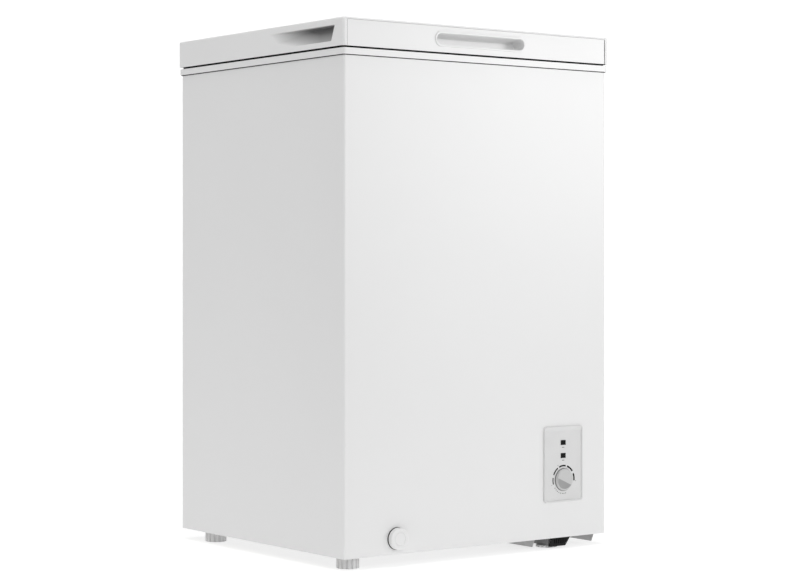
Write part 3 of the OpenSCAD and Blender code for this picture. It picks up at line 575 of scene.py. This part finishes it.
def make_dial_marks(knob_x, knob_z, field):
    """Dashes that thicken clockwise over the knob, a dotted arc below it and a mark under each lamp."""
    bm = bmesh.new()

    def dot(angle, reach, r):
        a = math.radians(angle)
        flat_mark(bm, circle_ring(knob_x + reach * math.cos(a), knob_z + reach * math.sin(a), r, 12), field)

    for i, half in enumerate(DASH_HALVES):
        centre = DASH_FIRST - DASH_STEP * i
        width = DASH_WIDTH + DASH_GROWTH * i
        flat_mark(bm, arc_bar(knob_x, knob_z, DIAL_R, centre + half, centre - half, width), field)
    for angle in (198, 117, -8):
        dot(angle, TICK_R, 0.6)
    for i in range(DOTS):
        dot(DOT_FIRST + DOT_STEP * i, DIAL_R, 0.8)
    for node in ("power_lamp", "run_lamp"):
        low, high = cad(node)
        centre = middle(low, high, "x")
        flat_mark(bm, corner_ring(centre - 2.6, centre + 2.6, low.z - 4.1, low.z - 3.3, 0.2, 2), field)
    add_piece("dial_marks", bm, "cabinet", "black_plastic")


def make_knob():
    """A turned skirt with a roof-shaped grip, whose ridge runs a little below the middle, and a darker plate
    on the lower roof as painted shade.
    """
    low, high = cad("thermostat_knob")
    cx = middle(low, high, "x")
    cz = middle(low, high, "z")
    base = high.y
    ridge = high.y - low.y
    r = (high.x - low.x) / 2
    skirt = 2.5
    eave = skirt + 0.3
    grip = r - 1.7
    off = -2.7
    start = math.asin(off / grip)
    half = 36
    upper = [start + (math.pi - 2 * start) * i / half for i in range(half)]
    lower = [math.pi - start + (math.pi + 2 * start) * i / half for i in range(half)]
    whole = upper + lower
    turn = math.radians(-KNOB_ANGLE)

    def point(a, radius, height):
        return cx + radius * math.cos(a + turn), base - height, cz + radius * math.sin(a + turn)

    def ring(radius, height):
        return [point(a, radius, height) for a in whole]

    def roof(angles, radius, drop):
        points = []
        for a in angles:
            across = radius * math.sin(a)
            share = (across - off) / (grip - off) if across > off else (off - across) / (grip + off)
            points.append(point(a, radius, eave + (ridge - eave) * (1 - min(1.0, share)) - drop))
        return points

    bm = bmesh.new()
    made = loft(bm, [
        ring(r - 0.5, 0.0), ring(r, 0.4), ring(r, skirt - 0.5), ring(r - 0.2, skirt - 0.12),
        ring(r - 0.6, skirt), ring(grip + 0.25, skirt), ring(grip, skirt + 0.1), roof(whole, grip, 0.25),
        roof(whole, grip - 0.25, 0.0),
    ], last=False)
    top = made[-1]
    bm.faces.new(top[:half + 1])
    bm.faces.new(top[half:] + top[:1])
    add_piece("knob_body", bm, "knob", "knob_plastic", ["thermostat_knob"], sharp=25.0)

    # A darker plate over the grip's lower roof: painted shade below the ridge
    edge = off - 0.5
    reach = grip - 0.9
    bend = math.asin(edge / reach)
    part = [math.pi - bend + (math.pi + 2 * bend) * i / half for i in range(half + 1)]
    bm = bmesh.new()
    loft(bm, [roof(part, reach, 0.4), roof(part, reach, -0.08)])
    add_piece("knob_painted_shade", bm, "knob", "knob_plastic", sharp=25.0, material=KNOB_SHADE_GREY)
    return cx, cz, r


def make_knob_shade_ring(cx, cz, r, field):
    """A thin dark ring on the panel round the foot of the knob: painted shade round the knob."""
    bm = bmesh.new()
    rings = [at_y(circle_ring(cx, cz, r + grow, 72), field - out)
             for grow, out in ((0.1, 0.0), (0.1, 1.0), (0.3, 1.3), (0.6, 1.3), (0.8, 1.0), (0.9, 0.0))]
    made = loft(bm, rings, first=False, last=False)
    skin(bm, made[-1], made[0])
    add_piece("knob_shade_ring", bm, "cabinet", "grey_plastic", sharp=60.0)


dial = make_control_plate()
make_dial_marks(*dial)
make_knob_shade_ring(*make_knob(), dial[2])
for lamp in ("power_lamp", "run_lamp"):
    soften(NODES[lamp], 0.5)


# ---------------------------------------------------------------- grip and front strip of the lid

LID_CORNER = 7.0
SEAM_CLEAR = 0.05


def make_grip():
    """A proud stadium-shaped lip round a pocket that narrows towards its closed end."""
    low, high = cad("front_grip")
    cx = middle(low, high, "x")
    cz = middle(low, high, "z")
    length = high.x - low.x
    height = high.z - low.z
    face = low.y

    def ring(inset, y, sink=0.0):
        return at_y(stadium_ring(cx, cz - sink, length - 2 * inset, height - 2 * inset), y)

    bm = bmesh.new()
    loft(bm, [
        ring(3.2, high.y), ring(2.6, high.y - 1), ring(2.4, face + 1.6), ring(0, face + 1.5),
        ring(0, face + 0.7), ring(0.25, face + 0.2), ring(0.8, face), ring(2.4, face),
        ring(3.0, face + 0.25), ring(3.4, face + 0.9), ring(3.7, face + 3), ring(4.9, face + 14, 0.9),
        ring(5.8, face + 20, 1.6), ring(7.0, face + 22.5, 2.0), ring(8.6, face + 23.6, 2.0),
    ])
    add_piece("grip_pocket", bm, "lid", "white_plastic", ["front_grip"], sharp=60.0)


def make_fascia_seam_shadows():
    """Dark strips in the seams at the two ends of the lid's front strip, a little lower than the lid's proud
    corners: painted shadow in the seams.
    """
    lid_low, lid_high = cad("lid_shell")
    low, high = cad("lid_fascia")
    bm = bmesh.new()
    inset = LID_CORNER + SEAM_CLEAR
    for left, right in ((lid_low.x + inset, low.x - SEAM_CLEAR), (high.x + SEAM_CLEAR, lid_high.x - inset)):
        ring = [(left, low.z + 0.4), (right, low.z + 0.4), (right, high.z - 0.2), (left, high.z - 0.2)]
        loft(bm, [at_y(ring, high.y - 0.1), at_y(ring, low.y - 0.5)])
    add_piece("fascia_seam_shadows", bm, "lid", "black_rubber")


make_grip()
make_fascia_seam_shadows()


# ---------------------------------------------------------------- drain

def make_drain_cap():
    """A turned cap with a rounded rim, a fine ring on its face and a plug behind it."""
    low, high = cad("drain_cap")
    cx = middle(low, high, "x")
    cz = middle(low, high, "z")
    r = (high.x - low.x) / 2
    face = low.y
    fitting_low, _ = cad("drain_fitting")
    seat = fitting_low.y - 0.3
    plug = 8.1
    bm = bmesh.new()
    lathe_y(bm, cx, cz, [
        (plug - 1.2, high.y), (plug - 0.3, high.y - 0.4), (plug, high.y - 1.4), (plug, seat), (r - 0.4, seat),
        (r, seat - 0.4), (r, face + 1.8), (r - 0.35, face + 0.8), (r - 1.1, face + 0.2), (r - 2.0, face),
        (10.6, face), (10.3, face + 0.15), (10.15, face + 0.6), (9.85, face + 0.6), (9.7, face + 0.15),
        (9.4, face), (1.0, face + 0.05),
    ])
    add_piece("drain_cap_turned", bm, "drain_cap", "white_plastic", ["drain_cap"], sharp=50.0)
    return cx, cz, r


def make_drain_shadow_washer(cx, cz, r):
    """A rubber washer on the front sheet; the dark rim it shows round the cap is painted contact shadow."""
    bm = bmesh.new()
    profile = ((-1.5, 0.02), (0.5, 0.02), (0.6, 0.6), (0.3, 1.3), (-1.5, 1.3))
    rings = [at_y(circle_ring(cx, cz, r + grow, 64), FRONT - out) for grow, out in profile]
    made = loft(bm, rings, first=False, last=False)
    skin(bm, made[-1], made[0])
    add_piece("drain_shadow_washer", bm, "cabinet", "black_rubber", sharp=50.0)


make_drain_shadow_washer(*make_drain_cap())


# ---------------------------------------------------------------- feet

FLUTES = 14
FLUTE_BITE = 1.4
FLUTE_INSET = 0.6
STUD_BORE_R = 4.25


def flute_radius(angle, outer, reach):
    """Distance from the axis to a wall with round flutes, whose centres are at reach, cut into it."""
    pitch = math.tau / FLUTES
    off = (angle + pitch / 2) % pitch - pitch / 2
    side = reach * math.sin(off)
    if abs(side) >= FLUTE_BITE:
        return outer
    return min(outer, reach * math.cos(off) - math.sqrt(FLUTE_BITE * FLUTE_BITE - side * side))


def make_foot(place):
    """A fluted pad. The right pair are low, with a slim neck under the compressor's tray."""
    node = f"foot_pad_{place}"
    low, high = cad(node)
    cx = middle(low, high, "x")
    cy = middle(low, high, "y")
    r = (high.x - low.x) / 2
    top = high.z
    steps = FLUTES * 14

    def ring(radius, z, fluted=False):
        points = []
        for i in range(steps):
            a = math.tau * i / steps
            reach = flute_radius(a, radius, r - FLUTE_INSET) if fluted else radius
            points.append((cx + reach * math.cos(a), cy + reach * math.sin(a), z))
        return points

    tall = [ring(r, 0.9), ring(r, 1.0, True), ring(r, top - 2.2, True), ring(r - 0.3, top - 1.2, True),
            ring(r - 1.0, top - 0.4, True), ring(r - 2.0, top)]
    flat = [ring(r, 0.9), ring(r, 1.0, True), ring(r, 3.0, True), ring(r - 0.4, 3.7, True),
            ring(r - 1.2, 4.0), ring(7.2, 4.0), ring(6.3, 4.4), ring(6.0, 5.2), ring(6.0, top - 0.3),
            ring(5.7, top)]
    wall = flat if place.endswith("right") else tall
    bore = [ring(STUD_BORE_R, top), ring(STUD_BORE_R, 6.6)]
    bm = bmesh.new()
    loft(bm, [ring(r - 0.9, 0.0), ring(r - 0.25, 0.25)] + wall + bore)
    add_piece(f"foot_{place}", bm, node, "foot_plastic", [node], sharp=40.0)


for corner in ("front_left", "front_right", "rear_left", "rear_right"):
    make_foot(corner)


# ---------------------------------------------------------------- liner, collar and lid pan

LINER_T = 1.0
LINER_R = 30.0
STEP_ABOVE_BAY = 49.4
WELL_BEFORE_BAY = 50.0
STEP_FILLET = 12
STEP_NOSE = 3.2
FLOOR_FILLET = 14
DRAIN_HOLE_R = 8.5
PAN_GAP = 3.0
COLLAR_H = 10.0


def make_liner():
    """A vacuum-formed tub: a well on the left, a step over the compressor on the right."""
    low, high = cad("inner_liner")
    x0, x1 = low.x + LINER_T, high.x - LINER_T
    y0, y1 = low.y + LINER_T, high.y - LINER_T
    floor = low.z + LINER_T
    bay_low, bay_high = cad("bay_panel")
    step = bay_high.z + STEP_ABOVE_BAY
    well = bay_low.x - WELL_BEFORE_BAY
    plug = cad("drain_plug")
    drain_x = middle(*plug, "x")
    drain_y = middle(*plug, "y")

    def ring(z, right, inset=0.0):
        return at_z(corner_ring(x0 + inset, right - inset, y0 + inset, y1 - inset, LINER_R - inset, 8), z)

    rings = [ring(high.z, x1), ring(step + STEP_FILLET, x1)]
    for turn in map(math.radians, (30, 60, 90)):
        rings.append(ring(step + STEP_FILLET * (1 - math.sin(turn)), x1 - STEP_FILLET * (1 - math.cos(turn))))
    for turn in map(math.radians, (0, 30, 60, 90)):
        rings.append(ring(step - STEP_NOSE * (1 - math.cos(turn)), well + STEP_NOSE * (1 - math.sin(turn))))
    rings.append(ring(floor + FLOOR_FILLET, well))
    for turn in map(math.radians, (22.5, 45, 67.5, 90)):
        rise = FLOOR_FILLET * (1 - math.sin(turn))
        rings.append(ring(floor + rise, well, FLOOR_FILLET * (1 - math.cos(turn))))
    bm = bmesh.new()
    made = loft(bm, rings, first=False, last=False)
    hole = add_ring(bm, at_z(circle_ring(drain_x, drain_y, DRAIN_HOLE_R), floor))
    fill_with_holes(bm, [made[-1], hole])
    piece = add_piece("liner_tub", bm, "cabinet", "liner_plastic", ["inner_liner"], sharp=40.0)
    shell = piece.modifiers.new("sheet", "SOLIDIFY")
    shell.thickness = 0.9 * MM
    shell.offset = 1.0
    return x0, x1, y0, y1


def make_lid_pan(x0, x1, y0, y1):
    """The lid's moulded underside: a flange, a plug that reaches into the mouth and a raised middle field."""
    low, high = cad("lid_inner_panel")
    _, gasket_high = cad("lid_gasket")
    under = gasket_high.z

    def flange(inset, z):
        return at_z(corner_ring(low.x + inset, high.x - inset, low.y + inset, high.y - inset, 2, 8), z)

    def plug(inset, z):
        reach = PAN_GAP + inset
        return at_z(corner_ring(x0 + reach, x1 - reach, y0 + reach, y1 - reach, LINER_R - 1 - inset, 8), z)

    bm = bmesh.new()
    loft(bm, [
        flange(0, high.z), flange(0, under), plug(-7, under), plug(-4, under - 0.4), plug(-1.4, under - 1.6),
        plug(-0.3, under - 3.4), plug(0, under - 5.4), plug(0.6, low.z + 2.2), plug(2.0, low.z + 0.6),
        plug(4.0, low.z), plug(16, low.z), plug(17.5, low.z + 0.3), plug(19, low.z + 1.1),
        plug(20.5, low.z + 1.4),
    ])
    add_piece("lid_pan", bm, "lid", "liner_plastic", ["lid_inner_panel"], sharp=50.0)


def make_gasket():
    """A folded rubber seal that runs round the lid, with a lip that reaches out under the lid's wall."""
    low, high = cad("lid_gasket")
    step = high.z - 2.2
    profile = [
        (0.5, low.z), (0.1, low.z + 0.5), (0.0, low.z + 1.2), (0.15, step - 0.6), (0.6, step), (2.8, step),
        (3.2, high.z), (18.8, high.z), (17.9, high.z - 0.9), (18.7, high.z - 1.8), (17.7, high.z - 2.8),
        (18.5, high.z - 3.7), (17.7, low.z + 0.4), (16.5, low.z),
    ]

    def ring(inset, z):
        r = 3 if inset < 1 else 4
        return at_z(corner_ring(low.x + inset, high.x - inset, low.y + inset, high.y - inset, r, 8), z)

    bm = bmesh.new()
    made = loft(bm, [ring(inset, z) for inset, z in profile], first=False, last=False)
    skin(bm, made[-1], made[0])
    add_piece("lid_seal", bm, "lid", "gasket_rubber", ["lid_gasket"], sharp=70.0)


def make_lid_gap_shadow_strips():
    """A dark strip on the underside of each of the lid's two side walls: painted shade that darkens the gap
    under the lid.
    """
    low, high = cad("lid_shell")
    bm = bmesh.new()
    for x0, x1 in ((low.x + 0.5, low.x + 3.9), (high.x - 3.9, high.x - 0.5)):
        outline = corner_ring(x0, x1, low.y + 6, high.y - 14, 0.5, 3)
        loft(bm, [at_z(outline, low.z + 0.02), at_z(outline, low.z - 0.7)])
    add_piece("lid_gap_shadow_strips", bm, "lid", "gasket_rubber")


def make_collar_shadow_strip():
    """A thin dark strip under the collar's lower edge: painted shadow beneath the collar."""
    _, high = cad("top_collar")
    skirt = high.z - COLLAR_H

    def ring(out, z):
        x0, x1 = WRAP_LOW.x - out, WRAP_HIGH.x + out
        return at_z(corner_ring(x0, x1, WRAP_LOW.y - out, WRAP_HIGH.y + out, 3, 8), z)

    bm = bmesh.new()
    made = loft(bm, [ring(0.02, skirt), ring(1.6, skirt), ring(1.6, skirt - 0.8), ring(0.02, skirt - 1.2)],
                first=False, last=False)
    skin(bm, made[-1], made[0])
    add_piece("collar_shadow_strip", bm, "cabinet", "black_rubber")


make_lid_pan(*make_liner())
make_gasket()
make_lid_gap_shadow_strips()
make_collar_shadow_strip()


# ---------------------------------------------------------------- basket

RIM_R = 2.1
THIN_R = 1.4


def spread(low, high, count):
    """Evenly spaced places from low to high."""
    return [low + (high - low) * i / (count - 1) for i in range(count)]


def make_basket():
    """A basket of coated wire that hangs by two loops on the collar's ledge."""
    low, high = cad("basket")
    rim_z = high.z - RIM_R
    x0, x1 = low.x + 5.5, high.x - 5.5
    y0, y1 = low.y + 18.0, high.y - 18.0
    bottom = low.z + THIN_R
    under = bottom + 2.6
    left, right = low.x + 16, high.x - 16
    bm = bmesh.new()

    def loop(z, inset, r):
        corners = [(x0 + inset, y0 + inset, z), (x1 - inset, y0 + inset, z), (x1 - inset, y1 - inset, z),
                   (x0 + inset, y1 - inset, z)]
        wire(bm, rounded_path(corners, 16, closed=True), r, closed=True)

    def run(corners, bend, r):
        wire(bm, rounded_path(corners, bend), r)

    loop(rim_z, 0, RIM_R)
    for z in spread(bottom + 26, rim_z - 32, 4):
        loop(z, 0.5, THIN_R)
    for x in spread(x0 + 22, x1 - 22, 8):
        run([(x, y0 + 3, rim_z), (x, y0 + 3, bottom), (x, y1 - 3, bottom), (x, y1 - 3, rim_z)], 10, THIN_R)
    for y in spread(y0 + 24, y1 - 24, 13):
        run([(x0 + 3, y, rim_z), (x0 + 3, y, under), (x1 - 3, y, under), (x1 - 3, y, rim_z)], 10, THIN_R)
    for edge, inner in ((low.y + RIM_R, y0), (high.y - RIM_R, y1)):
        corners = [(left, inner, rim_z), (left, edge, rim_z), (right, edge, rim_z), (right, inner, rim_z)]
        run(corners, 8, RIM_R)
    add_piece("wire_basket", bm, "basket", "basket_wire", ["basket"], sharp=60.0)


make_basket()


# ---------------------------------------------------------------- screws

HINGE_HEAD_R = 4
HINGE_SHANK_R = 1.9
HINGE_PITCH = 40.0
COVER_HEAD_R = 3.4
COVER_SHANK_R = 1.6
COVER_MIDDLE_Z = 130.0


def cross_ring(cx, cz, half, arm, y):
    """The outline of a cross recess with 24 points, counter-clockwise."""
    corners = [(arm, -half), (arm, half), (half, half), (half, arm), (-half, arm), (-half, half),
               (-arm, half), (-arm, -half), (-half, -half), (-half, -arm), (half, -arm), (half, -half)]
    points = []
    for i, (x, z) in enumerate(corners):
        nx, nz = corners[(i + 1) % 12]
        points.append((cx + x, y, cz + z))
        points.append((cx + (x + nx) / 2, y, cz + (z + nz) / 2))
    return points


def screw(bm, x, z, seat, length, r, shank):
    """A pan-head screw that is driven in from the rear."""
    turn = math.radians(-15)

    def ring(radius, y):
        return at_y(circle_ring(x, z, radius, 24, turn), y)

    loft(bm, [
        ring(shank * 0.4, seat - length), ring(shank, seat - length + 1.5), ring(shank, seat),
        ring(r, seat), ring(r, seat + 0.5), ring(r * 0.93, seat + 1.1), ring(r * 0.78, seat + 1.5),
        ring(r * 0.55, seat + 1.75),
        cross_ring(x, z, r * 0.11, r * 0.48, seat + 1.75), cross_ring(x, z, r * 0.09, r * 0.3, seat + 0.7),
    ])


def make_hinge_screws(name, node, body):
    """The screws of a hinge pair, in four columns and two rows."""
    low, high = cad(node)
    r = HINGE_HEAD_R
    outer = high.x - r
    inner = outer - HINGE_PITCH
    seat = high.y - 2.2
    bm = bmesh.new()
    for x in (-outer, -inner, inner, outer):
        for z in (low.z + r, high.z - r):
            screw(bm, x, z, seat, seat - low.y, r, HINGE_SHANK_R)
    add_piece(name, bm, body, "zinc_steel", [node])


def make_cover_screws():
    """The six screws of the rear cover, in two columns."""
    low, high = cad("rear_cover_screws")
    r = COVER_HEAD_R
    seat = high.y - 1.8
    bm = bmesh.new()
    for x in (low.x + r, high.x - r):
        for z in (low.z + r, COVER_MIDDLE_Z, high.z - r):
            screw(bm, x, z, seat, seat - low.y, r, COVER_SHANK_R)
    add_piece("cover_screws", bm, "cabinet", "zinc_steel", ["rear_cover_screws"])


make_hinge_screws("lower_screws", "lower_hinge_screws", "cabinet")
make_hinge_screws("upper_screws", "upper_hinge_screws", "lid")
make_cover_screws()


# ---------------------------------------------------------------- compressor

def make_compressor():
    """A pressed steel shell in two halves with a welded seam and a domed top."""
    low, high = cad("compressor_shell")
    r = (high.x - low.x) / 2 - 2
    seam = low.z + 78
    shoulder = low.z + 90
    dome = 36
    steps = 8
    profile = [
        (r - 14, low.z), (r - 5, low.z + 1.5), (r - 1.2, low.z + 6), (r, low.z + 14), (r, seam - 3.5),
        (r + 1.6, seam - 2.7), (r + 1.9, seam), (r + 1.6, seam + 2.7), (r, seam + 3.5), (r, shoulder),
    ]
    for i in range(1, steps + 1):
        a = math.pi / 2 * i / steps
        profile.append((r - dome + dome * math.cos(a), shoulder + dome * math.sin(a)))
    bm = bmesh.new()
    lathe_z(bm, middle(low, high, "x"), middle(low, high, "y"), profile)
    add_piece("compressor_pot", bm, "cabinet", "black_enamel", ["compressor_shell"], sharp=50.0)


make_compressor()


# ---------------------------------------------------------------- rounded edges on plain CAD parts

EDGES = {
    "top_collar": 0.3, "lid_shell": 0.25, "lid_fascia": 0.3, "hinge_lower_left": 0.5,
    "hinge_lower_right": 0.5, "hinge_upper_left": 0.5, "hinge_upper_right": 0.5, "bay_rear_cover": 0.4,
    "side_vent_grille": 0.6, "terminal_cover": 1.5, "drain_plug": 0.8, "cord_gland": 0.6,
    "compressor_bracket": 0.5, "air_inlet_grille": 0.4,
}
for node, width in EDGES.items():
    soften(NODES[node], width, 2, 40.0)


# ---------------------------------------------------------------- floor

# The floor's tone and glow rise between two distances along the camera's heading, in metres
FLOOR_HALF = 40.0
FLOOR_FADE = (-2.6, -0.5)
FLOOR_GLOW = (0.2, 0.5)


def make_floor():
    """A pale glowing floor that darkens towards the camera, well in front of the object."""
    mesh = bpy.data.meshes.new("floor")
    half = FLOOR_HALF
    corners = [(-half, -half, 0), (half, -half, 0), (half, half, 0), (-half, half, 0)]
    mesh.from_pydata(corners, [], [(0, 1, 2, 3)])
    floor = bpy.data.objects.new("floor", mesh)
    bpy.context.scene.collection.objects.link(floor)
    made, tree, shader = new_material("floor_white")
    coords = tree.nodes.new("ShaderNodeTexCoord")
    along = tree.nodes.new("ShaderNodeVectorMath")
    along.operation = "DOT_PRODUCT"
    along.inputs[1].default_value = (*HEADING, 0.0)
    link(tree, coords.outputs["Object"], along.inputs[0])
    reach = tree.nodes.new("ShaderNodeMapRange")
    reach.inputs["From Min"].default_value = FLOOR_FADE[0]
    reach.inputs["From Max"].default_value = FLOOR_FADE[1]
    link(tree, along.outputs["Value"], reach.inputs["Value"])
    tone = ramp(tree, reach.outputs["Result"], grey(0.34), grey(0.42))
    link(tree, tone.outputs["Color"], shader.inputs["Base Color"])
    shader.inputs["Emission Color"].default_value = (1.0, 1.0, 1.0, 1.0)
    glow = tree.nodes.new("ShaderNodeMath")
    glow.operation = "MULTIPLY_ADD"
    glow.inputs[1].default_value = FLOOR_GLOW[1]
    glow.inputs[2].default_value = FLOOR_GLOW[0]
    link(tree, reach.outputs["Result"], glow.inputs[0])
    link(tree, glow.outputs["Value"], shader.inputs["Emission Strength"])
    shader.inputs["Roughness"].default_value = 0.9
    mesh.materials.append(made)


make_floor()
